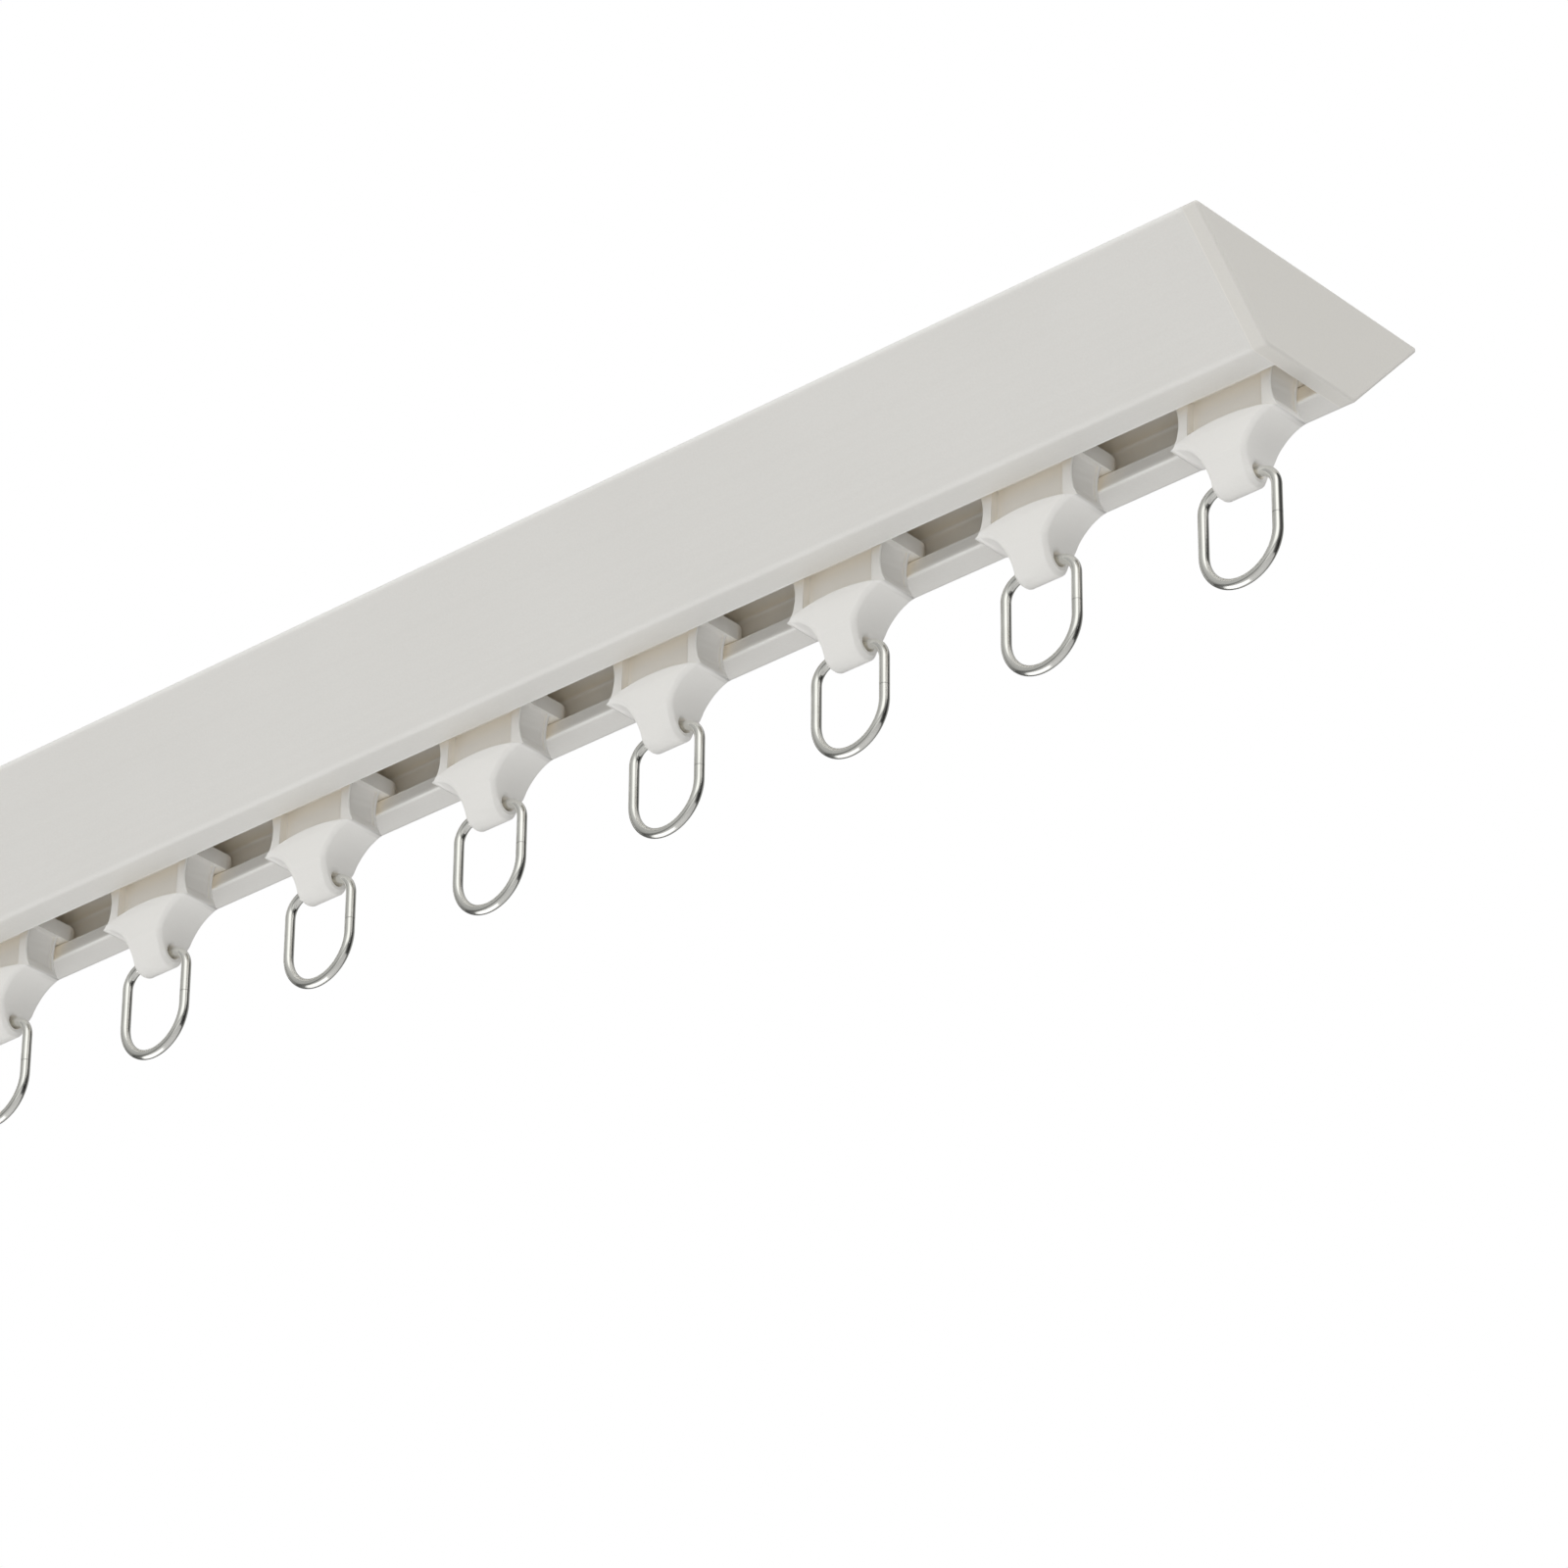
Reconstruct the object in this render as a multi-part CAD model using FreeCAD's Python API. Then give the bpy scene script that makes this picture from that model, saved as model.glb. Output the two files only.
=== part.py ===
import FreeCAD, Part

import math
import os

from FreeCAD import Vector

# A self-adhesive ceiling curtain track. X runs along the track, Y across it and Z up.
# The origin is the middle of the face that is pressed against the ceiling. Millimetres.

# Track profile: a hollow trapezoid with its wide face up and a slot in its narrow face.
# Behind the slot lies the channel for the glider heads, with walls of its own.
top_width = 40.8
bottom_width = 15.9
track_height = 13.1
slot_width = 7.5
top_wall = 1.5
side_wall = 1.5
lip_thickness = 2.0
channel_width = 13.6
channel_height = 4.6
channel_wall = 1.2
top_edge_radius = 0.35
bottom_edge_radius = 1.0
lip_edge_radius = 0.3
hollow_corner_radius = 0.5
channel_corner_radius = 0.4
chamber_edge_radius = 0.2

# End caps: a plate with the outline of the track, and two lugs that plug into the hollow
cap_thickness = 2.1
cap_edge_radius = 0.4
lug_length = 6.0
lug_wall = 1.4
lug_clearance = 0.1
lug_spacing = 17.0
lug_corner_radius = 0.4

# Mounting tape with its release liner still on
tape_width = 16.0
tape_thickness = 0.8
liner_thickness = 0.7
tape_end_margin = 1.5
tape_corner_radius = 1.0
tape_edge_chamfer = 0.1

# Row of gliders
glider_count = 10
glider_pitch = 28.6
parked_gap = 1.05

# Glider head, the plate that rides on the lips inside the track
head_length = 14.8
head_width = 12.0
head_thickness = 2.2
head_corner_radius = 2.2
running_gap = 0.05

# Glider neck, which passes through the slot, with a pocket in each of its four sides
neck_width = 4.9
waist_length = 13.2
waist_drop = 1.4
shoulder_length = 14.2
front_pocket_depth = 1.2
front_pocket_length = 10.4
end_pocket_depth = 0.5
end_pocket_width = 4.1
end_pocket_rise = 1.3

# Glider body, from its ears down to the tongue with the eye
body_width = 6.4
ear_length = 15.0
ear_drop = 4.1
arch_rise = 1.2
flank_radius = 5.5
tongue_length = 5.5
flank_edge_chamfer = 0.5
eye_drop = 9.5
eye_diameter = 1.8
eye_lead_in = 0.2
boss_diameter = 4.0
crease_width = 6.0
crease_rise = 2.0

# Wire ring, hung in the eye
wire_diameter = 1.26
ring_width = 10.4
ring_leg_length = 5.3
ring_corner_radius = 2.6
ring_eye_clearance = 0.05
ring_joint_gap = 0.08
ring_joint_share = 0.4
ring_bend_step = 18.0
wire_side_step = 30.0

# Places worked out from the sizes above
track_top = -(tape_thickness + liner_thickness)
track_bottom = track_top - track_height
lip_top = track_bottom + lip_thickness
hollow_top = track_top - top_wall
channel_top = lip_top + channel_height
eye_level = track_bottom - eye_drop
glider_end_distance = cap_thickness + parked_gap + head_length / 2
track_length = (glider_count - 1) * glider_pitch + 2 * glider_end_distance
profile_length = track_length - 2 * cap_thickness
side_slope = (top_width - bottom_width) / 2 / track_height

# Levels on a glider, measured up from the axis of its eye
ear_level = eye_drop - ear_drop
waist_level = eye_drop - waist_drop
head_level = eye_drop + lip_thickness + running_gap


def outline(corners):
    """Closed wire in the Y-Z plane through (y, z, radius) corners, each rounded by its radius."""
    bends = []
    for i, (y, z, radius) in enumerate(corners):
        here = Vector(0, y, z)
        back = (Vector(0, corners[i - 1][0], corners[i - 1][1]) - here).normalize()
        following = corners[(i + 1) % len(corners)]
        ahead = (Vector(0, following[0], following[1]) - here).normalize()
        half_angle = back.getAngle(ahead) / 2
        run = radius / math.tan(half_angle)
        middle = (back + ahead).normalize() * (radius / math.sin(half_angle) - radius)
        bends.append((here + back * run, here + middle, here + ahead * run))
    edges = []
    for i, (start, middle, end) in enumerate(bends):
        edges.append(Part.Arc(start, middle, end).toShape())
        edges.append(Part.LineSegment(end, bends[(i + 1) % len(bends)][0]).toShape())
    return Part.Wire(edges)


def slab(wire, start, length):
    """The area inside a Y-Z wire, as a solid that runs along X from start."""
    face = Part.Face(wire)
    face.translate(Vector(start, 0, 0))
    return face.extrude(Vector(length, 0, 0))


def box_between(low, high):
    """A box from its lowest to its highest corner."""
    box = Part.makeBox(*[b - a for a, b in zip(low, high)])
    box.translate(Vector(*low))
    return box


def fillet(solid, radius, wanted):
    """The solid with each edge that wanted(edge) picks rounded."""
    return solid.makeFillet(radius, [edge for edge in solid.Edges if wanted(edge)])


def chamfer(solid, size, wanted):
    """The solid with each edge that wanted(edge) picks cut off at 45 degrees."""
    return solid.makeChamfer(size, [edge for edge in solid.Edges if wanted(edge)])


def hollow_half_width(level, inset):
    """Half the width of the track's hollow at a level, with its walls moved in by inset."""
    across = (side_wall + inset) * math.hypot(1, side_slope)
    return top_width / 2 + (level - track_top) * side_slope - across


def hollow_corners(inset):
    """The four corners of the track's hollow, moved in by inset."""
    top = hollow_top - inset
    bottom = lip_top + inset
    wide = hollow_half_width(top, inset)
    narrow = hollow_half_width(bottom, inset)
    return [(narrow, bottom), (wide, top), (-wide, top), (-narrow, bottom)]


def track_outline():
    """The outside of the track, as on its end caps."""
    wide = top_width / 2
    narrow = bottom_width / 2
    return outline([
        (narrow, track_bottom, bottom_edge_radius),
        (wide, track_top, top_edge_radius),
        (-wide, track_top, top_edge_radius),
        (-narrow, track_bottom, bottom_edge_radius),
    ])


def chamber_outline():
    """The closed hollow that goes over the channel from one slanted wall to the other."""
    inner = channel_width / 2 + channel_wall
    roof = channel_top + channel_wall
    floor = track_top - (top_width / 2 - side_wall * math.hypot(1, side_slope) - inner) / side_slope
    wide = hollow_half_width(hollow_top, 0)
    return outline([
        (inner, floor, chamber_edge_radius),
        (wide, hollow_top, hollow_corner_radius),
        (-wide, hollow_top, hollow_corner_radius),
        (-inner, floor, chamber_edge_radius),
        (-inner, roof, hollow_corner_radius),
        (inner, roof, hollow_corner_radius),
    ])


def track_profile():
    """The extruded track: an outer wall, lips on both sides of the slot, and a channel wall."""
    wide = top_width / 2
    narrow = bottom_width / 2
    slot = slot_width / 2
    half_channel = channel_width / 2
    section = outline([
        (slot, track_bottom, lip_edge_radius),
        (narrow, track_bottom, bottom_edge_radius),
        (wide, track_top, top_edge_radius),
        (-wide, track_top, top_edge_radius),
        (-narrow, track_bottom, bottom_edge_radius),
        (-slot, track_bottom, lip_edge_radius),
        (-slot, lip_top, lip_edge_radius),
        (-half_channel, lip_top, channel_corner_radius),
        (-half_channel, channel_top, channel_corner_radius),
        (half_channel, channel_top, channel_corner_radius),
        (half_channel, lip_top, channel_corner_radius),
        (slot, lip_top, lip_edge_radius),
    ])
    track = slab(section, -profile_length / 2, profile_length)
    return track.cut(slab(chamber_outline(), -profile_length, 2 * profile_length))


def cap_lugs():
    """Two hooked lugs that follow the top corners of the hollow, clear of the glider heads."""
    rounded = [(y, z, lug_corner_radius) for y, z in hollow_corners(lug_clearance)]
    inside = [(y, z, lug_corner_radius) for y, z in hollow_corners(lug_clearance + lug_wall)]
    start = profile_length / 2 - lug_length
    half_room = lug_spacing / 2
    lugs = slab(outline(rounded), start, lug_length)
    lugs = lugs.cut(slab(outline(inside), start, lug_length))
    room = box_between((start, -half_room, track_bottom), (start + lug_length, half_room, track_top))
    return lugs.cut(room)


def end_cap():
    """The cap of the +X end."""
    plate = slab(track_outline(), profile_length / 2, cap_thickness)
    end = track_length / 2
    plate = fillet(plate, cap_edge_radius, lambda edge: edge.BoundBox.XMin > end - 0.001)
    return plate.fuse(cap_lugs()).removeSplitter()


def tape_layer(bottom, thickness):
    """One layer of the tape, a long strip with rounded corners."""
    length = track_length - 2 * tape_end_margin
    strip = box_between(
        (-length / 2, -tape_width / 2, bottom),
        (length / 2, tape_width / 2, bottom + thickness),
    )
    strip = fillet(strip, tape_corner_radius, lambda edge: edge.BoundBox.ZLength > thickness / 2)
    return chamfer(strip, tape_edge_chamfer, lambda edge: edge.BoundBox.ZLength < thickness / 2)


def upright_slab(edges, half_width):
    """The area inside edges in the X-Z plane, as a solid of that half width each way in Y."""
    face = Part.Face(Part.Wire(Part.__sortEdges__(edges)))
    face.translate(Vector(0, -half_width, 0))
    return face.extrude(Vector(0, 2 * half_width, 0))


def both_ends(edges):
    """The edges of the +X half of a symmetric outline, with their mirror images."""
    return edges + [edge.mirror(Vector(0, 0, 0), Vector(1, 0, 0)) for edge in edges]


def line(start, end):
    """A straight edge between two (x, z) points in the X-Z plane."""
    return Part.LineSegment(Vector(start[0], 0, start[1]), Vector(end[0], 0, end[1])).toShape()


def arc(start, middle, end):
    """A round edge through three (x, z) points in the X-Z plane."""
    return Part.Arc(*[Vector(x, 0, z) for x, z in (start, middle, end)]).toShape()


def flank_block():
    """The room between the flanks: the tongue's two sides, and above them the hollow curves."""
    tongue = tongue_length / 2
    ear = ear_length / 2
    floor = -boss_diameter
    roof = 2 * eye_drop
    centre_x = tongue + flank_radius
    centre_z = ear_level - math.sqrt(flank_radius ** 2 - (centre_x - ear) ** 2)
    lean = flank_radius * math.sqrt(0.5)
    under = centre_z + flank_radius
    edges = both_ends([
        line((0, floor), (tongue, floor)),
        line((tongue, floor), (tongue, centre_z)),
        arc((tongue, centre_z), (centre_x - lean, centre_z + lean), (centre_x, under)),
        line((centre_x, under), (2 * ear, under)),
        line((2 * ear, under), (2 * ear, roof)),
        line((2 * ear, roof), (0, roof)),
    ])
    return upright_slab(edges, body_width)


def ear_block():
    """The room below the low arch, from one ear tip to the other."""
    ear = ear_length / 2
    floor = -boss_diameter
    edges = [
        arc((ear, ear_level), (0, ear_level + arch_rise), (-ear, ear_level)),
        line((-ear, ear_level), (-ear, floor)),
        line((-ear, floor), (ear, floor)),
        line((ear, floor), (ear, ear_level)),
    ]
    return upright_slab(edges, body_width)


def body_side():
    """The body seen from its end: a round boss that widens to a crease and on to the ears."""
    boss = boss_diameter / 2
    crease = crease_width / 2
    wide = body_width / 2
    top = 3 * eye_drop
    reach = math.hypot(crease, crease_rise)
    turn = math.atan2(crease_rise, crease) - math.acos(boss / reach)
    touch = Vector(0, boss * math.cos(turn), boss * math.sin(turn))
    right = [touch, Vector(0, crease, crease_rise), Vector(0, wide, ear_level), Vector(0, wide, top)]
    left = [Vector(0, -point.y, point.z) for point in reversed(right)]
    points = right + left
    edges = [Part.LineSegment(a, b).toShape() for a, b in zip(points, points[1:])]
    edges.append(Part.Arc(left[-1], Vector(0, 0, -boss), touch).toShape())
    return slab(Part.Wire(edges), -1.5 * ear_length, 3 * ear_length)


def is_flank_edge(edge):
    """Whether an edge of the body climbs along one of its flanks."""
    box = edge.BoundBox
    flank_end = tongue_length / 2 + flank_radius
    inside = max(abs(box.XMin), abs(box.XMax)) < flank_end + 0.001
    return inside and box.ZLength > 0.01


def glider_body():
    """The tongue and the ears, with the edges of both flanks cut off."""
    block = flank_block().common(body_side())
    block = chamfer(block, flank_edge_chamfer, is_flank_edge)
    return block.common(ear_block())


def neck_front(depth):
    """The neck seen from the front, waisted, with its ends moved in by depth."""
    ear = ear_length / 2 - depth
    waist = waist_length / 2 - depth
    shoulder = shoulder_length / 2 - depth
    edges = both_ends([
        line((0, ear_level), (ear, ear_level)),
        arc((ear, ear_level), (waist, waist_level), (shoulder, head_level)),
        line((shoulder, head_level), (0, head_level)),
    ])
    return upright_slab(edges, neck_width / 2)


def glider_neck():
    """The neck with a pocket in its front, its back and both ends."""
    neck = neck_front(0)
    core = neck_front(end_pocket_depth)
    floor = neck_width / 2 - front_pocket_depth
    half_front = front_pocket_length / 2
    half_end = end_pocket_width / 2
    ear = ear_length / 2
    front = box_between((-half_front, -neck_width, ear_level), (half_front, -floor, head_level))
    end = box_between((half_front, -half_end, ear_level + end_pocket_rise), (ear, half_end, head_level))
    end = end.cut(core)
    back = front.mirror(Vector(0, 0, 0), Vector(0, 1, 0))
    other_end = end.mirror(Vector(0, 0, 0), Vector(1, 0, 0))
    return neck.cut([front, back, end, other_end])


def glider_head():
    """The plate on top of the glider, with rounded corners."""
    plate = box_between(
        (-head_length / 2, -head_width / 2, head_level),
        (head_length / 2, head_width / 2, head_level + head_thickness),
    )
    return fillet(plate, head_corner_radius, lambda edge: edge.BoundBox.ZLength > head_thickness / 2)


def glider_eye():
    """The eye hole along X, widened a little at both mouths."""
    radius = eye_diameter / 2
    tongue = tongue_length / 2
    along = Vector(1, 0, 0)
    hole = Part.makeCylinder(radius, 4 * tongue, Vector(-2 * tongue, 0, 0), along)
    depth = 2 * eye_lead_in
    start = tongue - eye_lead_in
    mouth = Part.makeCone(radius, radius + depth, depth, Vector(start, 0, 0), along)
    other = Part.makeCone(radius, radius + depth, depth, Vector(-start, 0, 0), -along)
    return hole.fuse([mouth, other])


def glider():
    """One moulded glider, with the eye's axis at its own origin."""
    solid = glider_body().fuse([glider_neck(), glider_head()])
    return solid.cut(glider_eye()).removeSplitter()


def bend_points(x, z, radius, start, end, step):
    """Points along a bend round (x, z) from one angle to another, at most step degrees apart."""
    count = math.ceil(abs(end - start) / math.radians(step) - 0.001)
    angles = [start + (end - start) * i / count for i in range(count + 1)]
    return [Vector(x + radius * math.cos(a), 0, z + radius * math.sin(a)) for a in angles]


def ring():
    """One oval wire ring, hung in the eye, with a butt joint in its +X leg."""
    bar_level = -(eye_diameter - wire_diameter) / 2 + ring_eye_clearance
    half = ring_width / 2
    corner = ring_corner_radius
    leg_top = bar_level - corner
    leg_bottom = leg_top - ring_leg_length
    joint = leg_top - ring_joint_share * ring_leg_length
    upper_end = joint + ring_joint_gap / 2
    lower_end = joint - ring_joint_gap / 2
    upper_bend = bend_points(half - corner, leg_top, corner, 0, math.pi / 2, ring_bend_step)
    lower_bend = bend_points(0, leg_bottom, half, math.pi, 2 * math.pi, ring_bend_step)
    far_bend = [Vector(-point.x, 0, point.z) for point in reversed(upper_bend)]
    ends = Vector(half, 0, upper_end), Vector(half, 0, lower_end)
    path = Part.makePolygon([ends[0], *upper_bend, *far_bend, *lower_bend, ends[1]])
    around = bend_points(0, 0, wire_diameter / 2, 0, 2 * math.pi, wire_side_step)
    section = Part.makePolygon([ends[0] + Vector(point.x, point.z, 0) for point in around])
    return path.makePipeShell([section], True, False, 1)


def place_along(solid, index):
    """The solid moved from the eye of a glider at the origin to its place in the row."""
    copy = solid.copy()
    start = -(glider_count - 1) * glider_pitch / 2
    copy.translate(Vector(start + index * glider_pitch, 0, eye_level))
    return copy


def build():
    """Every piece by name."""
    cap = end_cap()
    pieces = {
        "track_profile": track_profile(),
        "end_cap_right": cap,
        "end_cap_left": cap.mirror(Vector(0, 0, 0), Vector(1, 0, 0)),
        "adhesive_tape": tape_layer(track_top, tape_thickness),
        "release_liner": tape_layer(track_top + tape_thickness, liner_thickness),
    }
    one_glider = glider()
    one_ring = ring()
    for index in range(glider_count):
        pieces[f"glider_{index + 1:02d}"] = place_along(one_glider, index)
        pieces[f"ring_{index + 1:02d}"] = place_along(one_ring, index)
    return pieces


os.makedirs("parts", exist_ok=True)
for name, solid in build().items():
    solid.exportStep(f"parts/{name}.step")
    print(name, len(solid.Solids), solid.isValid(), round(solid.Volume, 2))
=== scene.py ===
import math

import bmesh
import bpy
from mathutils import Euler, Matrix, Vector


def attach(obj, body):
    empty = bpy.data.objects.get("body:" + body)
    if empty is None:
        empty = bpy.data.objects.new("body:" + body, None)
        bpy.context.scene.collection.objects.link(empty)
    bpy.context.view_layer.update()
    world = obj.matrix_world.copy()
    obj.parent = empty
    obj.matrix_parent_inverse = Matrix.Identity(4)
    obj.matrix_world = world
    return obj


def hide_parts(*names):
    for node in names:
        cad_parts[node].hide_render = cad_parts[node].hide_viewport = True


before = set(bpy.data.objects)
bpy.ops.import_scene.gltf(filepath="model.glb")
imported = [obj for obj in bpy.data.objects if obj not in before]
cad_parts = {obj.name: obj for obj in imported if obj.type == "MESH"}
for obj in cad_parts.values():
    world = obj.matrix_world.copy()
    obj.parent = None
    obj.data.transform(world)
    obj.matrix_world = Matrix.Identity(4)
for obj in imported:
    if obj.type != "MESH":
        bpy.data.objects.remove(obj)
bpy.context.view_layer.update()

# The looks of a ceiling curtain track: rail, end caps, tape with its liner, gliders and wire rings.
# X runs along the rail, Z up, and the face that goes to the ceiling is at Z = 0. Metres.

MM = 0.001

# Row of gliders, and the level of the middle of their eyes
GLIDER_COUNT = 10
GLIDER_PITCH = 28.6 * MM
EYE_LEVEL = -24.1 * MM

# Rounding of a glider's sharp edges, clear of its eye and of its ear tips
ROUNDING = 0.15 * MM
ROUNDING_STEPS = 2
SHARP_FROM = math.radians(24)
EYE_MARGIN = 1.6 * MM
EAR_MARGIN = 7.1 * MM

# Corners of the CAD mesh this near to each other are one, and faces this near to flat are joined
SAME_CORNER = 0.001 * MM
FLAT_WITHIN = math.radians(1)

# Wire ring. Its bar hangs a little below the middle of the eye, its two lower bends stop just short
# of meeting at the bottom, and the edges of its wire are shaded smooth below the angle at the end.
WIRE_DIAMETER = 1.26 * MM
WIRE_SIDES = 32
RING_WIDTH = 10.4 * MM
RING_LEG = 5.3 * MM
RING_CORNER = 2.6 * MM
RING_CORNER_STEPS = 14
RING_LOWER_STEPS = 22
RING_LOWER_SHARE = 0.9999
RING_BAR_DROP = 0.22 * MM
RING_JOINT_GAP = 0.05 * MM
RING_JOINT_SHARE = 0.7
SMOOTH_BELOW = math.radians(50)


# Node helpers

def feed(tree, socket, value):
    """A socket given a plain value, or linked to the socket that its value comes from."""
    if isinstance(value, bpy.types.NodeSocket):
        tree.links.new(value, socket)
    else:
        socket.default_value = value


def add(tree, kind, inputs=None, **settings):
    """A node with its settings, and with its inputs fed by name or number."""
    node = tree.nodes.new(kind)
    for key, value in settings.items():
        setattr(node, key, value)
    for key, value in (inputs or {}).items():
        feed(tree, node.inputs[key], value)
    return node


def math_node(tree, operation, *terms):
    """The result of one sum on values or sockets."""
    return add(tree, "ShaderNodeMath", operation=operation, inputs=dict(enumerate(terms))).outputs[0]


def blend(tree, first, second, share):
    """Two values mixed, with this share of the second."""
    rest = math_node(tree, "MULTIPLY", first, 1 - share)
    return math_node(tree, "MULTIPLY_ADD", second, share, rest)


def dot_product(tree, first, second):
    """How far one direction points along another."""
    node = add(tree, "ShaderNodeVectorMath", operation="DOT_PRODUCT", inputs={0: first, 1: second})
    return node.outputs["Value"]


def map_range(tree, value, low, high, new_low, new_high):
    """A value moved from one range to another, and held inside it."""
    node = add(tree, "ShaderNodeMapRange", inputs={
        "Value": value, "From Min": low, "From Max": high, "To Min": new_low, "To Max": new_high,
    })
    return node.outputs["Result"]


def ramp(tree, value, stops):
    """The colour that a value has on a ramp of (place, colour) stops."""
    node = add(tree, "ShaderNodeValToRGB", inputs={"Fac": value})
    elements = node.color_ramp.elements
    while len(elements) < len(stops):
        elements.new(0.5)
    for element, (place_on_ramp, colour) in zip(elements, stops):
        element.position = place_on_ramp
        element.color = (*colour, 1.0)
    return node.outputs["Color"]


def mix_colour(tree, share, first, second, way="MIX"):
    """Two colours mixed by a share. The node's colour sockets are inputs 6 and 7 and output 2."""
    node = add(tree, "ShaderNodeMix", data_type="RGBA", blend_type=way, inputs={
        0: share, 6: first, 7: second,
    })
    return node.outputs[2]


def noise(tree, where, scale, detail, rough):
    """A soft noise, as many grains to the metre as the scale says."""
    node = add(tree, "ShaderNodeTexNoise", inputs={
        "Vector": where, "Scale": scale, "Detail": detail, "Roughness": rough,
    })
    return node.outputs["Fac"]


def place_on_piece(tree):
    """Where a point is, in the row's own metres."""
    return add(tree, "ShaderNodeTexCoord").outputs["Object"]


def new_group(kind, name, inputs, outputs):
    """An empty node group with named sockets: (tree, input node, output node)."""
    tree = bpy.data.node_groups.new(name, kind)
    for label, socket_kind, value in inputs:
        socket = tree.interface.new_socket(label, in_out="INPUT", socket_type=socket_kind)
        socket.default_value = value
    for label, socket_kind in outputs:
        tree.interface.new_socket(label, in_out="OUTPUT", socket_type=socket_kind)
    return tree, tree.nodes.new("NodeGroupInput"), tree.nodes.new("NodeGroupOutput")


def place(tree, made, **inputs):
    """A node group put in a material with its own values. Underscores in the names stand for spaces."""
    node = add(tree, "ShaderNodeGroup", node_tree=made)
    for key, value in inputs.items():
        feed(tree, node.inputs[key.replace("_", " ")], value)
    return node.outputs


# Effects that the materials place with their own values

def fine_grain_group():
    """The fine matt grain of moulded or extruded plastic, with a slow drift in tone."""
    tree, given, result = new_group("ShaderNodeTree", "fine grain", [
        ("Grain size", "NodeSocketFloat", 0.3 * MM),
        ("Drift size", "NodeSocketFloat", 20 * MM),
    ], [("Grain", "NodeSocketFloat"), ("Drift", "NodeSocketFloat")])
    where = place_on_piece(tree)
    grain_scale = math_node(tree, "DIVIDE", 1.0, given.outputs["Grain size"])
    drift_scale = math_node(tree, "DIVIDE", 1.0, given.outputs["Drift size"])
    feed(tree, result.inputs["Grain"], noise(tree, where, grain_scale, detail=3.0, rough=0.6))
    feed(tree, result.inputs["Drift"], noise(tree, where, drift_scale, detail=2.0, rough=0.5))
    return tree


def drawn_lines_group():
    """Faint straight lines along X, as a die leaves on an extruded rail."""
    tree, given, result = new_group("ShaderNodeTree", "drawn lines", [
        ("Line width", "NodeSocketFloat", 0.5 * MM),
        ("Line length", "NodeSocketFloat", 400 * MM),
    ], [("Lines", "NodeSocketFloat")])
    along = math_node(tree, "DIVIDE", 1.0, given.outputs["Line length"])
    across = math_node(tree, "DIVIDE", 1.0, given.outputs["Line width"])
    scale = add(tree, "ShaderNodeCombineXYZ", inputs={"X": along, "Y": across, "Z": across})
    stretched = add(tree, "ShaderNodeVectorMath", operation="MULTIPLY", inputs={
        0: place_on_piece(tree), 1: scale.outputs[0],
    })
    feed(tree, result.inputs["Lines"], noise(tree, stretched.outputs[0], 1.0, detail=2.0, rough=0.5))
    return tree


# How far the rounded and the plain normal agree where an edge starts, and where it is at its full
EDGE_FROM = 0.998
EDGE_FULL = 0.95

# How far the rounded normal leans along X where an edge starts to count as an end's, and where it
# fully does
END_FROM = 0.05
END_FULL = 0.3


def edge_mask_group():
    """1 along outside and inside edges, and 0 on flat faces. Ends is the share left at edges across X."""
    tree, given, result = new_group("ShaderNodeTree", "edge mask", [
        ("Reach", "NodeSocketFloat", 0.2 * MM),
        ("Ends", "NodeSocketFloat", 1.0),
    ], [("Edge", "NodeSocketFloat")])
    rounded = add(tree, "ShaderNodeBevel", samples=4, inputs={"Radius": given.outputs["Reach"]}).outputs[0]
    plain = add(tree, "ShaderNodeNewGeometry").outputs["Normal"]
    edge = map_range(tree, dot_product(tree, rounded, plain), EDGE_FROM, EDGE_FULL, 0.0, 1.0)
    parts = add(tree, "ShaderNodeSeparateXYZ", inputs={0: rounded})
    lean = math_node(tree, "ABSOLUTE", parts.outputs["X"])
    share = map_range(tree, lean, END_FROM, END_FULL, 1.0, given.outputs["Ends"])
    feed(tree, result.inputs["Edge"], math_node(tree, "MULTIPLY", edge, share))
    return tree


def sheltered_group():
    """0 where a spot is as open as Least says, or more, and 1 where it is as closed in as Most says. The
    materials paint shade and warm bounced light into recesses by it.
    """
    tree, given, result = new_group("ShaderNodeTree", "recess_shading_mask", [
        ("Reach", "NodeSocketFloat", 8 * MM),
        ("Least", "NodeSocketFloat", 0.46),
        ("Most", "NodeSocketFloat", 0.14),
    ], [("Shelter", "NodeSocketFloat")])
    size = given.outputs
    sky = add(tree, "ShaderNodeAmbientOcclusion", samples=8, inputs={"Distance": size["Reach"]})
    shelter = map_range(tree, sky.outputs["AO"], size["Least"], size["Most"], 0.0, 1.0)
    feed(tree, result.inputs["Shelter"], shelter)
    return tree


FINE_GRAIN = fine_grain_group()
DRAWN_LINES = drawn_lines_group()
EDGE_MASK = edge_mask_group()
SHELTERED = sheltered_group()


# Materials

# Where most values of a noise lie
NOISE_RANGE = (0.3, 0.7)

# Satin plastic: how its tone drifts, its die lines, how much paler its painted edge highlight is and the
# palest that it gets, how far round a spot its openness is judged for the painted shade in recesses, at what
# share of the openness where that starts it is at full, and its surface
PLASTIC_DRIFT = 30 * MM
PLASTIC_DRIFT_SHARE = 0.4
DIE_LINE_WIDTH = 0.6 * MM
DIE_LINE_LENGTH = 500 * MM
EDGE_HIGHLIGHT_GAIN = 1.27
PALEST_HIGHLIGHT = 0.98
RECESS_REACH = 8 * MM
RECESS_FULL_SHARE = 0.3
PLASTIC_ROUGH_SPREAD = 0.05
PLASTIC_SPECULAR = 0.4
PLASTIC_BUMP_STRENGTH = 0.5
PLASTIC_BUMP_DEPTH = 0.02 * MM

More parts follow.
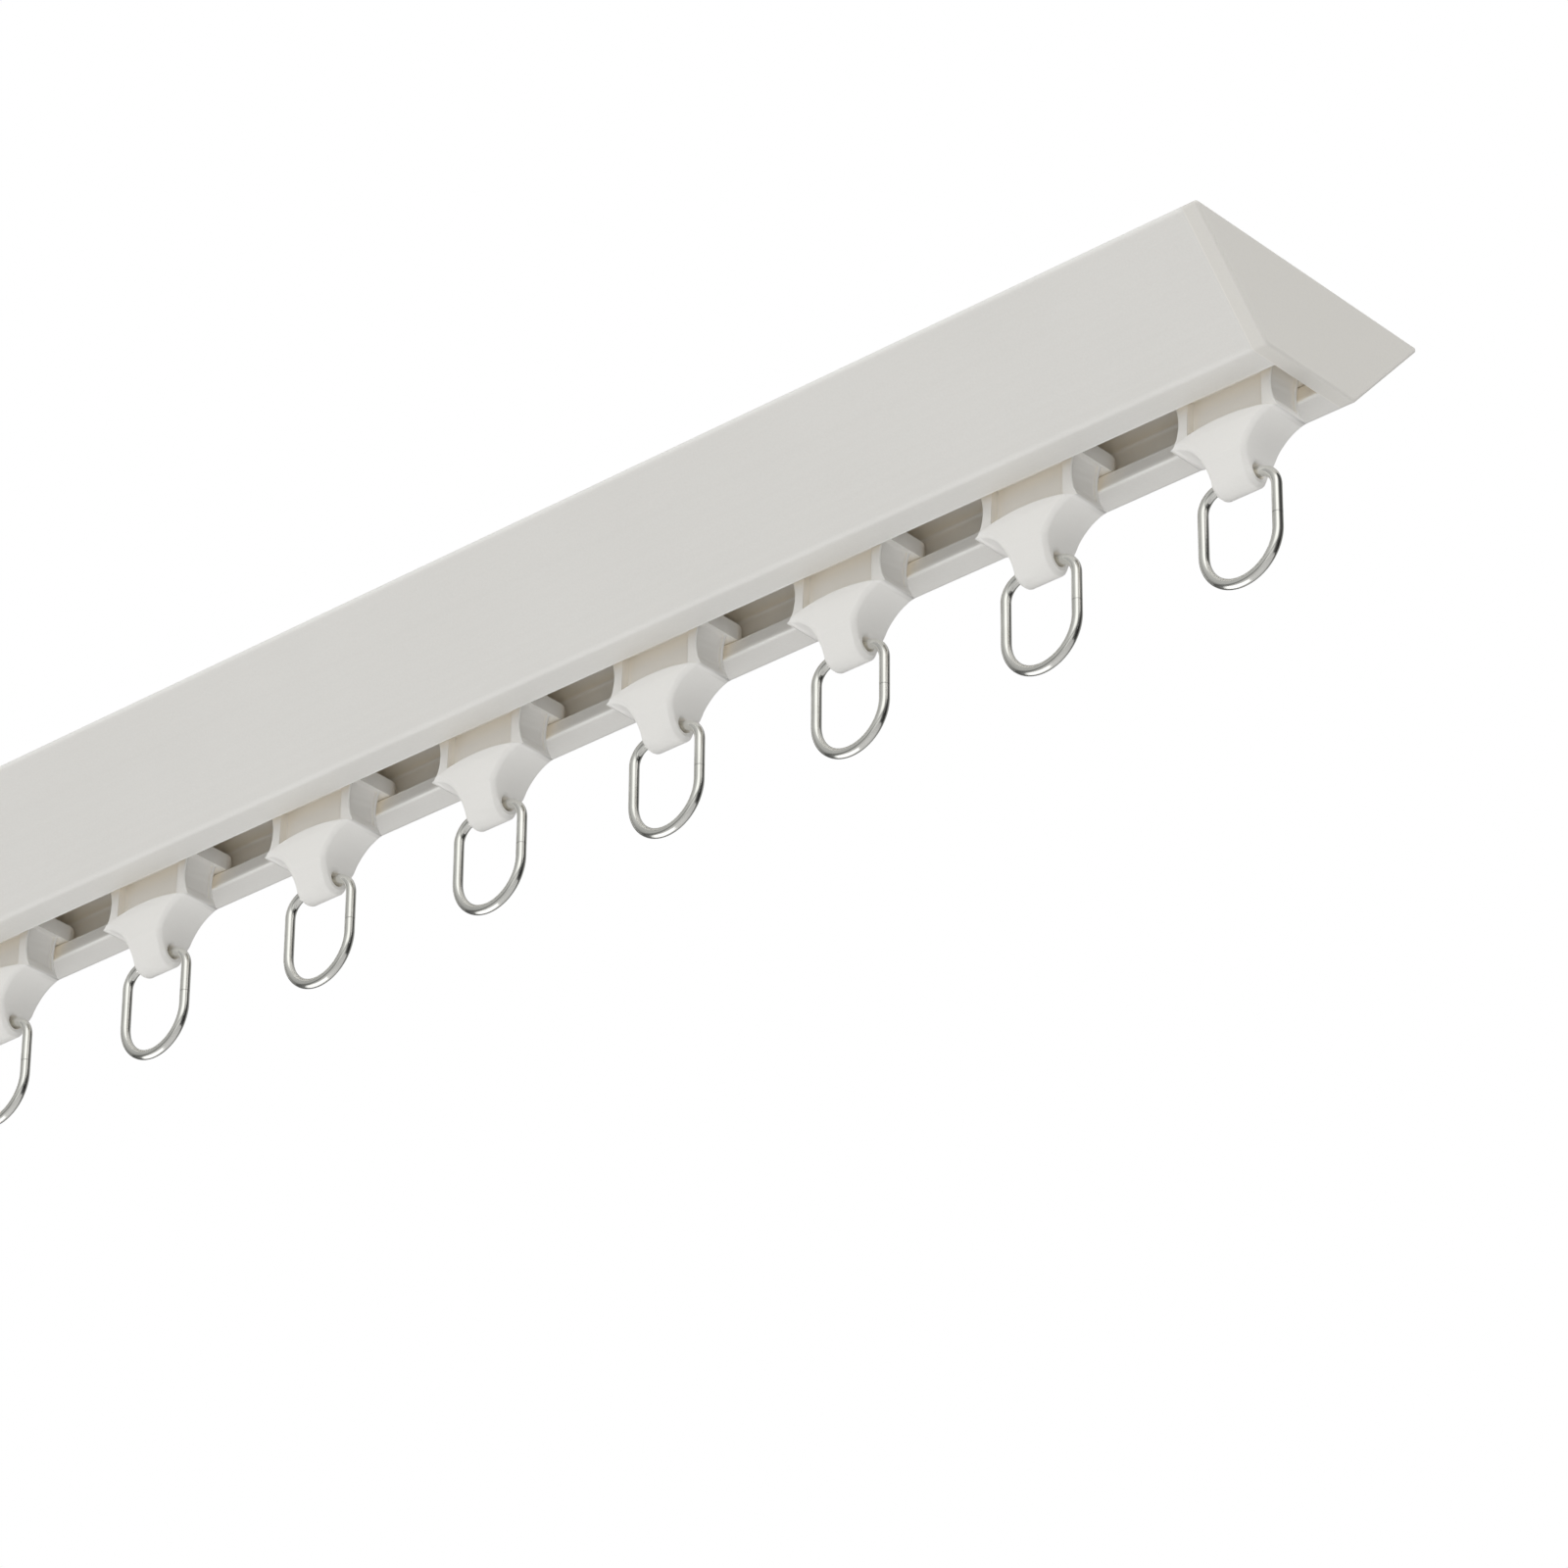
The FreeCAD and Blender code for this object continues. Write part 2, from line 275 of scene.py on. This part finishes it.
# Bright wire: its two tones, its drawing marks and its surface
WIRE_DARK = (0.80, 0.80, 0.77)
WIRE_LIGHT = (0.88, 0.88, 0.85)
WIRE_GRAIN = 0.6 * MM
WIRE_DRIFT = 3 * MM
WIRE_ROUGH = (0.12, 0.18)
WIRE_BUMP_STRENGTH = 0.1
WIRE_BUMP_DEPTH = 0.003 * MM

# Foam: how its tone drifts, its cells and their pits, its tones and roughness, its paler edges (a painted
# highlight) and its surface
FOAM_DRIFT = 12 * MM
FOAM_PIT_SHARE = 0.4
CELLS_PER_GRAIN = 0.8
PIT_EDGE = 0.6
FOAM_TONES = (0.25, 0.75)
FOAM_ROUGH_RANGE = (0.2, 0.8)
FOAM_ROUGH_SPREAD = 0.06
FOAM_HIGHLIGHT_REACH = 0.2 * MM
FOAM_HIGHLIGHT_SHARE = 0.4
FOAM_HIGHLIGHT_GAIN = 1.15
FOAM_SPECULAR = 0.2
FOAM_BUMP_STRENGTH = 0.5
FOAM_BUMP_DEPTH = 0.03 * MM


def new_material(name):
    """An empty node material: (material, tree, shader)."""
    material = bpy.data.materials.new(name)
    material.use_nodes = True
    tree = material.node_tree
    tree.nodes.clear()
    shader = tree.nodes.new("ShaderNodeBsdfPrincipled")
    output = tree.nodes.new("ShaderNodeOutputMaterial")
    tree.links.new(shader.outputs[0], output.inputs[0])
    return material, tree, shader


def two_tones(tree, value, within, dark, light):
    """A colour that goes from dark to light as a value goes through a range."""
    return ramp(tree, value, list(zip(within, (dark, light))))


def uneven(tree, value, within, rough, spread):
    """A roughness that falls from above to below its middle as a value goes up through a range."""
    return map_range(tree, value, *within, rough + spread, rough - spread)


def paler_edges(tree, colour, light, gain, reach, share, ends=1.0):
    """A colour with a share of a paler one along its edges: a painted highlight, as if the edges caught the
    light.
    """
    edge = place(tree, EDGE_MASK, Reach=reach, Ends=ends)
    pale = [min(PALEST_HIGHLIGHT, gain * part) for part in light]
    return mix_colour(tree, math_node(tree, "MULTIPLY", edge["Edge"], share), colour, (*pale, 1.0))


def bump(tree, shader, height, strength, depth):
    """A bump on the shader's normal, with its depth in metres."""
    node = add(tree, "ShaderNodeBump", inputs={"Height": height, "Strength": strength, "Distance": depth})
    feed(tree, shader.inputs["Normal"], node.outputs["Normal"])


def satin_plastic(name, light, dark, painted_recess_shading, recess_from, rough, grain_size, line_share=0.0, edge_highlight_share=0.0,
                  edge_highlight_reach=0.3 * MM, end_highlight_share=1.0):
    """Off-white plastic with a fine grain, painted shade and warm bounced light in recesses, and maybe die
    lines and a painted highlight along its edges.
    """
    material, tree, shader = new_material(name)
    grain = place(tree, FINE_GRAIN, Grain_size=grain_size, Drift_size=PLASTIC_DRIFT)
    tone = blend(tree, grain["Grain"], grain["Drift"], PLASTIC_DRIFT_SHARE)
    if line_share:
        lines = place(tree, DRAWN_LINES, Line_width=DIE_LINE_WIDTH, Line_length=DIE_LINE_LENGTH)
        tone = blend(tree, tone, lines["Lines"], line_share)
    colour = two_tones(tree, tone, NOISE_RANGE, dark, light)
    if edge_highlight_share:
        # Painted highlight: a paler colour along the edges, as if they caught the light.
        colour = paler_edges(tree, colour, light, EDGE_HIGHLIGHT_GAIN, edge_highlight_reach, edge_highlight_share, end_highlight_share)
    # Painted shade and warm bounced light: recesses take their own colour by how closed in they are.
    deepest = RECESS_FULL_SHARE * recess_from
    recess_shading_mask = place(tree, SHELTERED, Reach=RECESS_REACH, Least=recess_from, Most=deepest)
    colour = mix_colour(tree, recess_shading_mask["Shelter"], colour, (*painted_recess_shading, 1.0))
    feed(tree, shader.inputs["Base Color"], colour)
    feed(tree, shader.inputs["Roughness"], uneven(tree, tone, NOISE_RANGE, rough, PLASTIC_ROUGH_SPREAD))
    feed(tree, shader.inputs["Specular IOR Level"], PLASTIC_SPECULAR)
    bump(tree, shader, tone, PLASTIC_BUMP_STRENGTH, PLASTIC_BUMP_DEPTH)
    return material


def bright_wire():
    """Bright plated wire with faint drawing marks and a slow drift in tone."""
    material, tree, shader = new_material("bright_wire")
    grain = place(tree, FINE_GRAIN, Grain_size=WIRE_GRAIN, Drift_size=WIRE_DRIFT)
    colour = two_tones(tree, grain["Drift"], NOISE_RANGE, WIRE_DARK, WIRE_LIGHT)
    feed(tree, shader.inputs["Base Color"], colour)
    feed(tree, shader.inputs["Roughness"], map_range(tree, grain["Grain"], *NOISE_RANGE, *WIRE_ROUGH))
    feed(tree, shader.inputs["Metallic"], 1.0)
    bump(tree, shader, grain["Grain"], WIRE_BUMP_STRENGTH, WIRE_BUMP_DEPTH)
    return material


def foam(name, light, dark, rough, cell):
    """Soft closed-cell tape, with its cells showing as a fine pitting."""
    material, tree, shader = new_material(name)
    grain = place(tree, FINE_GRAIN, Grain_size=cell, Drift_size=FOAM_DRIFT)
    cells = add(tree, "ShaderNodeTexVoronoi", inputs={
        "Vector": place_on_piece(tree), "Scale": CELLS_PER_GRAIN / cell,
    })
    pits = map_range(tree, cells.outputs["Distance"], 0.0, PIT_EDGE, 0.0, 1.0)
    tone = blend(tree, grain["Drift"], pits, FOAM_PIT_SHARE)
    colour = two_tones(tree, tone, FOAM_TONES, dark, light)
    # Painted highlight: paler edges on the foam, as if they caught the light.
    colour = paler_edges(tree, colour, light, FOAM_HIGHLIGHT_GAIN, FOAM_HIGHLIGHT_REACH, FOAM_HIGHLIGHT_SHARE)
    feed(tree, shader.inputs["Base Color"], colour)
    feed(tree, shader.inputs["Roughness"], uneven(tree, tone, FOAM_ROUGH_RANGE, rough, FOAM_ROUGH_SPREAD))
    feed(tree, shader.inputs["Specular IOR Level"], FOAM_SPECULAR)
    bump(tree, shader, pits, FOAM_BUMP_STRENGTH, FOAM_BUMP_DEPTH)
    return material


# Each recess colour is painted shade and warm bounced light, and the paler edges of the rail and the cap are
# a painted highlight.
RAIL = satin_plastic(
    "rail_plastic", light=(0.785, 0.777, 0.753), dark=(0.735, 0.726, 0.70), painted_recess_shading=(0.95, 0.87, 0.735),
    recess_from=0.56, rough=0.32, grain_size=0.25 * MM, line_share=0.15,
    edge_highlight_share=1.0, edge_highlight_reach=0.7 * MM, end_highlight_share=0.0,
)
CAP = satin_plastic(
    "cap_plastic", light=(0.765, 0.75, 0.712), dark=(0.735, 0.72, 0.684), painted_recess_shading=(0.70, 0.67, 0.60),
    recess_from=0.50, rough=0.40, grain_size=0.3 * MM, edge_highlight_share=0.5,
)
GLIDER = satin_plastic(
    "glider_plastic", light=(0.88, 0.872, 0.848), dark=(0.85, 0.842, 0.818), painted_recess_shading=(0.95, 0.90, 0.81),
    recess_from=0.46, rough=0.40, grain_size=0.2 * MM,
)
WIRE = bright_wire()
TAPE = foam("foam_tape", light=(0.42, 0.07, 0.055), dark=(0.33, 0.05, 0.04), rough=0.75, cell=0.3 * MM)
LINER = foam("liner_film", light=(0.60, 0.115, 0.10), dark=(0.53, 0.10, 0.088), rough=0.58, cell=0.5 * MM)


def paint(node, material):
    """A CAD node shown with this material."""
    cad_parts[node].material_slots[0].material = material


paint("track_profile", RAIL)
paint("end_cap_right", CAP)
paint("end_cap_left", CAP)
paint("adhesive_tape", TAPE)
paint("release_liner", LINER)
for number in range(1, GLIDER_COUNT + 1):
    paint(f"glider_{number:02d}", GLIDER)
    paint(f"ring_{number:02d}", WIRE)


# Pieces

def in_scene(name, data):
    """A new object in the scene, at its origin."""
    item = bpy.data.objects.new(name, data)
    bpy.context.scene.collection.objects.link(item)
    return item


def finished_mesh(source, name):
    """The plain mesh that an object's modifiers give. The object itself goes."""
    graph = bpy.context.evaluated_depsgraph_get()
    mesh = bpy.data.meshes.new_from_object(source.evaluated_get(graph), depsgraph=graph)
    bpy.data.objects.remove(source)
    mesh.name = name
    return mesh


def glider_place(number):
    """X of a glider, counted from the -X end."""
    return (number - (GLIDER_COUNT + 1) / 2) * GLIDER_PITCH


# Wire rings, made by geometry nodes

def by_index(tree, kind, values):
    """A field that gives each point its own value by its number."""
    node = add(tree, "GeometryNodeIndexSwitch", data_type=kind)
    while len(node.index_switch_items) < len(values):
        node.index_switch_items.new()
    feed(tree, node.inputs["Index"], add(tree, "GeometryNodeInputIndex").outputs[0])
    for i, value in enumerate(values):
        feed(tree, node.inputs[str(i)], value)
    return node.outputs[0]


def ring_corners(tree, size, half):
    """The corners of a ring's path, from one face of its butt joint round to the other."""
    other_half = math_node(tree, "MULTIPLY", half, -1.0)
    leg_top = math_node(tree, "MULTIPLY", size["Corner radius"], -1.0)
    leg_bottom = math_node(tree, "SUBTRACT", leg_top, size["Leg length"])
    bottom = math_node(tree, "SUBTRACT", leg_bottom, half)
    joint_drop = math_node(tree, "MULTIPLY", size["Leg length"], size["Joint share"])
    joint = math_node(tree, "SUBTRACT", leg_top, joint_drop)
    half_gap = math_node(tree, "MULTIPLY", size["Joint gap"], 0.5)
    corners = [
        (half, math_node(tree, "ADD", joint, half_gap)),
        (half, 0.0),
        (other_half, 0.0),
        (other_half, bottom),
        (half, bottom),
        (half, math_node(tree, "SUBTRACT", joint, half_gap)),
    ]
    return [add(tree, "ShaderNodeCombineXYZ", inputs={"X": x, "Z": z}).outputs[0] for x, z in corners]


def ring_path(tree, size):
    """The middle line of a ring's wire, with its upper corners and its lower bends rounded."""
    half = math_node(tree, "MULTIPLY", size["Width"], 0.5)
    corners = ring_corners(tree, size, half)
    line = add(tree, "GeometryNodeMeshLine", inputs={"Count": len(corners)})
    shaped = add(tree, "GeometryNodeSetPosition", inputs={
        "Geometry": line.outputs[0], "Position": by_index(tree, "VECTOR", corners),
    })
    path = add(tree, "GeometryNodeMeshToCurve", inputs={"Mesh": shaped.outputs[0]})
    upper = size["Corner radius"]
    lower = math_node(tree, "MULTIPLY", half, RING_LOWER_SHARE)
    steps = [1, RING_CORNER_STEPS, RING_CORNER_STEPS, RING_LOWER_STEPS, RING_LOWER_STEPS, 1]
    bends = add(tree, "GeometryNodeFilletCurve", mode="POLY", inputs={
        "Curve": path.outputs[0],
        "Count": by_index(tree, "INT", steps),
        "Radius": by_index(tree, "FLOAT", [0.0, upper, upper, lower, lower, 0.0]),
        "Limit Radius": True,
    })
    return bends.outputs[0]


def ring_tree():
    """One oval wire ring from its sizes, with a butt joint in its +X leg, at a place in the row frame."""
    tree, given, result = new_group("GeometryNodeTree", "oval wire ring", [
        ("Place", "NodeSocketVector", (0.0, 0.0, 0.0)),
        ("Wire diameter", "NodeSocketFloat", WIRE_DIAMETER),
        ("Width", "NodeSocketFloat", RING_WIDTH),
        ("Leg length", "NodeSocketFloat", RING_LEG),
        ("Corner radius", "NodeSocketFloat", RING_CORNER),
        ("Joint share", "NodeSocketFloat", RING_JOINT_SHARE),
        ("Joint gap", "NodeSocketFloat", RING_JOINT_GAP),
        ("Wire material", "NodeSocketMaterial", WIRE),
    ], [("Geometry", "NodeSocketGeometry")])
    size = given.outputs
    round_section = add(tree, "GeometryNodeCurvePrimitiveCircle", inputs={
        "Resolution": WIRE_SIDES, "Radius": math_node(tree, "MULTIPLY", size["Wire diameter"], 0.5),
    })
    wire = add(tree, "GeometryNodeCurveToMesh", inputs={
        "Curve": ring_path(tree, size), "Profile Curve": round_section.outputs[0], "Fill Caps": True,
    })
    angle = add(tree, "GeometryNodeInputMeshEdgeAngle").outputs[0]
    smooth = add(tree, "FunctionNodeCompare", data_type="FLOAT", operation="LESS_THAN", inputs={
        0: angle, 1: SMOOTH_BELOW,
    })
    shaded = add(tree, "GeometryNodeSetShadeSmooth", domain="EDGE", inputs={
        "Geometry": wire.outputs[0], "Shade Smooth": smooth.outputs[0],
    })
    placed = add(tree, "GeometryNodeTransform", inputs={
        "Geometry": shaded.outputs[0], "Translation": size["Place"],
    })
    real = add(tree, "GeometryNodeRealizeInstances", inputs={"Geometry": placed.outputs[0]})
    finished = add(tree, "GeometryNodeSetMaterial", inputs={
        "Geometry": real.outputs[0], "Material": size["Wire material"],
    })
    feed(tree, result.inputs[0], finished.outputs[0])
    return tree


def plain_piece(name, tree, **inputs):
    """A plain mesh object made by a geometry node tree. Underscores in the names stand for spaces."""
    source = in_scene(name + "_source", bpy.data.meshes.new(name + "_source"))
    modifier = source.modifiers.new("shape", "NODES")
    modifier.node_group = tree
    sockets = [item for item in tree.interface.items_tree if item.in_out == "INPUT"]
    identifiers = {socket.name: socket.identifier for socket in sockets}
    for key, value in inputs.items():
        modifier[identifiers[key.replace("_", " ")]] = value
    return in_scene(name, finished_mesh(source, name))


def wire_rings():
    """A ring for each glider, riding on its own body."""
    tree = ring_tree()
    for number in range(1, GLIDER_COUNT + 1):
        middle = (glider_place(number), 0.0, EYE_LEVEL - RING_BAR_DROP)
        ring = plain_piece(f"wire_ring_{number:02d}", tree, Place=middle, Wire_material=WIRE)
        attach(ring, f"hanger_{number:02d}")
        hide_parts(f"ring_{number:02d}")


# Gliders, with the sharp edges of the CAD ones taken off

def is_plain_edge(edge):
    """Whether an edge of the first glider is sharp, and clear of its eye and of its thin ear tips."""
    if edge.calc_face_angle(0.0) < SHARP_FROM:
        return False
    for corner in edge.verts:
        at = corner.co
        from_eye = math.hypot(at.y, at.z - EYE_LEVEL)
        beside = abs(at.x - glider_place(1))
        if from_eye < EYE_MARGIN or beside > EAR_MARGIN:
            return False
    return True


def soft_glider():
    """The glider at the -X end with its sharp edges taken off, as a mesh."""
    shape = bmesh.new()
    shape.from_mesh(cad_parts["glider_01"].data)
    bmesh.ops.remove_doubles(shape, verts=shape.verts, dist=SAME_CORNER)
    bmesh.ops.dissolve_limit(shape, angle_limit=FLAT_WITHIN, verts=shape.verts, edges=shape.edges)
    weight = shape.edges.layers.float.new("bevel_weight_edge")
    for edge in shape.edges:
        edge[weight] = 1.0 if is_plain_edge(edge) else 0.0
    mesh = bpy.data.meshes.new("soft_glider_source")
    shape.to_mesh(mesh)
    shape.free()
    source = in_scene("soft_glider_source", mesh)
    rounding = source.modifiers.new("rounding", "BEVEL")
    rounding.width = ROUNDING
    rounding.segments = ROUNDING_STEPS
    rounding.limit_method = "WEIGHT"
    rounding.use_clamp_overlap = False
    rounding.harden_normals = True
    soft = finished_mesh(source, "soft_glider")
    soft.materials.clear()
    soft.materials.append(GLIDER)
    return soft


def soft_gliders():
    """A glider with soft edges in each place, riding on its own body."""
    first = soft_glider()
    for number in range(1, GLIDER_COUNT + 1):
        mesh = first.copy()
        mesh.transform(Matrix.Translation((glider_place(number) - glider_place(1), 0.0, 0.0)))
        glider = in_scene(f"soft_glider_{number:02d}", mesh)
        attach(glider, f"carrier_{number:02d}")
        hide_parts(f"glider_{number:02d}")


soft_gliders()
wire_rings()


# Stage

# Floor, well below the track. Its lift is the light that it gives the camera, so that it looks as white
# as the background round it.
FLOOR_HALF = 3.0
FLOOR_LEVEL = -1.7
FLOOR_COLOUR = (0.85, 0.85, 0.85, 1.0)
FLOOR_ROUGH = 0.9
FLOOR_LIFT = 0.52
WHITE = (1.0, 1.0, 1.0, 1.0)

# Even light all round, weaker from behind the track and to its right, stronger from the bright side
EVEN_COLOUR = (1.0, 0.992, 0.975, 1.0)
EVEN_LIGHT = (0.44, 0.72)
BRIGHT_SIDE = (-0.6, -0.8, 0.0)
OVERHEAD = (0.0, 0.0, 1.0)

# Light and dark panels that only reflections show, each list as (place, brightness). They go round
# from behind the track (0) by its left, the camera's side (0.5) and its right, and up from below (0)
# to overhead (1).
PANEL_LIGHT = 1.2
PANEL_BLUE_SHARE = 0.985
PANEL_FRONT = (0.6658, -0.7462, 0.0)
PANEL_RIGHT = (-PANEL_FRONT[1], PANEL_FRONT[0], 0.0)
PANELS_ROUND = [
    (0.00, 0.16), (0.18, 0.20), (0.25, 0.34), (0.38, 0.50), (0.44, 1.00), (0.52, 1.00),
    (0.57, 0.36), (0.62, 0.08), (0.75, 0.03), (0.83, 0.28), (0.92, 0.42), (1.00, 0.16),
]
PANELS_UP = [(0.0, 0.45), (0.35, 0.65), (0.46, 0.30), (0.52, 0.85), (0.60, 1.00), (0.90, 1.00), (1.0, 0.55)]

# Soft lamps: name, place, width, power in watts, and whether reflections show it
LAMP_AIM = (0.0, 0.0, -0.02)
LAMPS = [
    ("key", (-0.54, -1.44, 0.94), 1.0, 5.5, False),
    ("near", (0.87, -0.97, -0.74), 0.5, 2.7, False),
    ("fill", (-0.86, 0.0, -1.23), 1.7, 6.8, True),
    ("side", (1.13, 0.0, 0.99), 1.0, 7.2, False),
]

# Camera of the photograph, below the track, in front of it and to its right: lens and sensor in
# millimetres, turn in degrees
CAMERA_LENS = 167.12
CAMERA_SENSOR = 36.0
CAMERA_PLACE = (0.54716, -0.54440, -0.45321)
CAMERA_TURN = (119.6448, -0.3773, 41.5291)


def seen_directly(tree):
    """1 for what the camera sees, straight or through something clear, and 0 for all other rays."""
    ray = add(tree, "ShaderNodeLightPath").outputs
    return math_node(tree, "MAXIMUM", ray["Is Camera Ray"], ray["Is Transmission Ray"])


def stage_floor():
    """A pale floor, well below the track, as white as the background round it."""
    half = FLOOR_HALF
    corners = [(x, y, FLOOR_LEVEL) for x, y in ((-half, -half), (half, -half), (half, half), (-half, half))]
    mesh = bpy.data.meshes.new("floor")
    mesh.from_pydata(corners, [], [(0, 1, 2, 3)])
    material, tree, shader = new_material("pale_floor")
    feed(tree, shader.inputs["Base Color"], FLOOR_COLOUR)
    feed(tree, shader.inputs["Roughness"], FLOOR_ROUGH)
    feed(tree, shader.inputs["Emission Color"], WHITE)
    lift = math_node(tree, "MULTIPLY", seen_directly(tree), FLOOR_LIFT)
    feed(tree, shader.inputs["Emission Strength"], lift)
    mesh.materials.append(material)
    floor = in_scene("floor", mesh)


def grey_ramp(tree, value, stops):
    """A ramp of (place, brightness) stops, very slightly warm."""
    return ramp(tree, value, [(at, (shade, shade, PANEL_BLUE_SHARE * shade)) for at, shade in stops])


def studio_panels(tree, direction):
    """The colour of the studio in each direction, as reflections show it."""
    front = dot_product(tree, direction, PANEL_FRONT)
    right = dot_product(tree, direction, PANEL_RIGHT)
    angle = math_node(tree, "ARCTAN2", right, front)
    turn = map_range(tree, angle, -math.pi, math.pi, 0.0, 1.0)
    height = map_range(tree, dot_product(tree, direction, OVERHEAD), -1.0, 1.0, 0.0, 1.0)
    across = grey_ramp(tree, turn, PANELS_ROUND)
    upward = grey_ramp(tree, height, PANELS_UP)
    return mix_colour(tree, 1.0, across, upward, way="MULTIPLY")


def background(tree, colour, strength):
    """A light from all round, of one colour and strength or of ones that change with the direction."""
    return add(tree, "ShaderNodeBackground", inputs={"Color": colour, "Strength": strength}).outputs[0]


def studio_world():
    """Soft pale light all round, a white background, and light and dark panels for reflections."""
    world = bpy.data.worlds.new("studio")
    bpy.context.scene.world = world
    world.use_nodes = True
    tree = world.node_tree
    tree.nodes.clear()
    direction = add(tree, "ShaderNodeTexCoord").outputs["Generated"]
    level = map_range(tree, dot_product(tree, direction, BRIGHT_SIDE), -1.0, 1.0, *EVEN_LIGHT)
    even = background(tree, EVEN_COLOUR, level)
    panels = background(tree, studio_panels(tree, direction), PANEL_LIGHT)
    white = background(tree, WHITE, 1.0)
    mirrored = add(tree, "ShaderNodeLightPath").outputs["Is Glossy Ray"]
    studio = add(tree, "ShaderNodeMixShader", inputs={0: mirrored, 1: even, 2: panels})
    final = add(tree, "ShaderNodeMixShader", inputs={
        0: seen_directly(tree), 1: studio.outputs[0], 2: white,
    })
    add(tree, "ShaderNodeOutputWorld", inputs={"Surface": final.outputs[0]})


def soft_lamp(name, at, width, power, mirrored):
    """A square soft lamp aimed at the track. Only a mirrored one shows in reflections."""
    data = bpy.data.lights.new(name, "AREA")
    data.size = width
    data.energy = power
    lamp = in_scene(name, data)
    lamp.location = at
    lamp.rotation_euler = (Vector(at) - Vector(LAMP_AIM)).to_track_quat("Z", "Y").to_euler()
    lamp.visible_glossy = mirrored


def photo_camera():
    """The camera of the photograph."""
    data = bpy.data.cameras.new("camera")
    data.lens = CAMERA_LENS
    data.sensor_width = CAMERA_SENSOR
    camera = in_scene("camera", data)
    camera.location = CAMERA_PLACE
    camera.rotation_euler = Euler([math.radians(angle) for angle in CAMERA_TURN])
    bpy.context.scene.camera = camera


stage_floor()
studio_world()
for name, at, width, power, mirrored in LAMPS:
    soft_lamp(name, at, width, power, mirrored)
photo_camera()
bpy.context.scene.view_settings.view_transform = "Standard"
